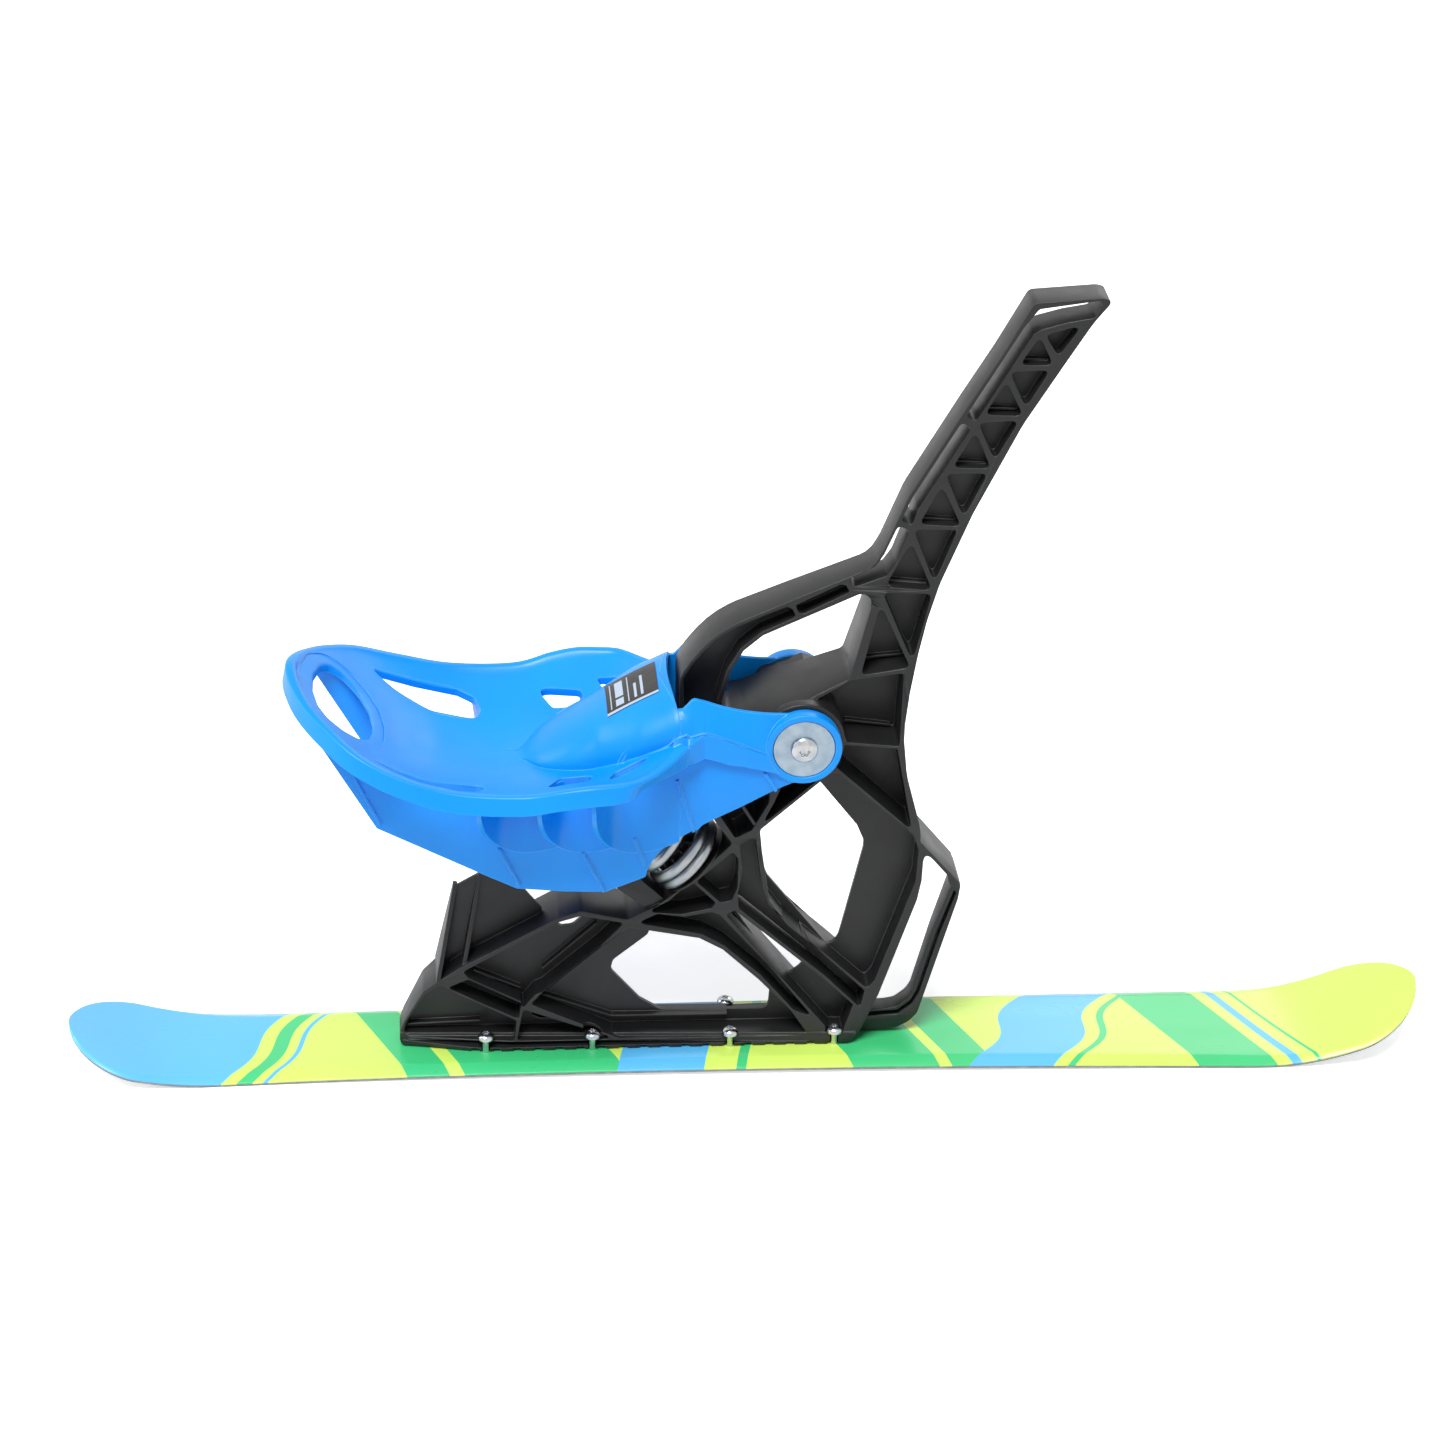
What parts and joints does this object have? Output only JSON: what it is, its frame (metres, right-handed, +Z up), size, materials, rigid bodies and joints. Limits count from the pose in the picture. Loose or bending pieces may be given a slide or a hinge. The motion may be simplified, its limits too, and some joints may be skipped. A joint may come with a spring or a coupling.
{
  "type": "ski sled",
  "caption": "Seat sled on a short ski: a moulded bucket seat swings down on a pivot against a coil spring, on a ribbed frame with a tall handle.",
  "frame": {"origin": "on the ground, under the middle of the ski, at the bottom centre of the bounding box", "axes": "+X forward along the ski to its tip, +Y to the rider's left, +Z up"},
  "size_m": [1.0996, 0.2504, 0.6546],
  "materials": {
    "ski_base": "sintered",
    "ski_edge": "ground",
    "ski_core": "planed",
    "top_sheet": "gloss",
    "zinc": "bright zinc",
    "washer": "matt zinc",
    "frame": "satin",
    "bush": "satin",
    "seat": "satin",
    "cup": "satin",
    "stop": "matt",
    "foil": "satin"
  },
  "bodies": {
    "sled_frame": {"ski_base": "ski_base", "ski_edge_left": "ski_edge", "ski_edge_right": "ski_edge", "ski_core": "ski_core", "ski_top_sheet": "top_sheet", "ski_insert_left_1": "zinc", "ski_insert_left_2": "zinc", "ski_insert_left_3": "zinc", "ski_insert_left_4": "zinc", "ski_insert_right_1": "zinc", "ski_insert_right_2": "zinc", "ski_insert_right_3": "zinc", "ski_insert_right_4": "zinc", "rail_screw_left_1": "zinc", "rail_screw_left_2": "zinc", "rail_screw_left_3": "zinc", "rail_screw_left_4": "zinc", "rail_screw_right_1": "zinc", "rail_screw_right_2": "zinc", "rail_screw_right_3": "zinc", "rail_screw_right_4": "zinc", "spring": "zinc", "bump_stop_screw": "zinc", "frame": "frame", "pivot_bush_left": "bush", "pivot_bush_right": "bush", "spring_cup_lower": "cup", "bump_stop": "stop"},
    "swing_seat": {"seat": "seat", "pivot_axle": "zinc", "pivot_washer_left": "washer", "pivot_washer_right": "washer", "pivot_bolt_left": "zinc", "pivot_bolt_right": "zinc", "horn_plate": "foil", "spring_cup_upper": "cup", "cup_screw": "zinc"}
  },
  "joints": [
    {"name": "seat_pivot", "type": "hinge", "parent": "sled_frame", "child": "swing_seat", "pos_m": [0.0285, 0, 0.3008], "axis": [0, 1, 0], "range_deg": [-6, 0], "stiffness_Nm_per_rad": 1200, "springref_deg": 1.49, "deforming": ["spring"]}
  ]
}
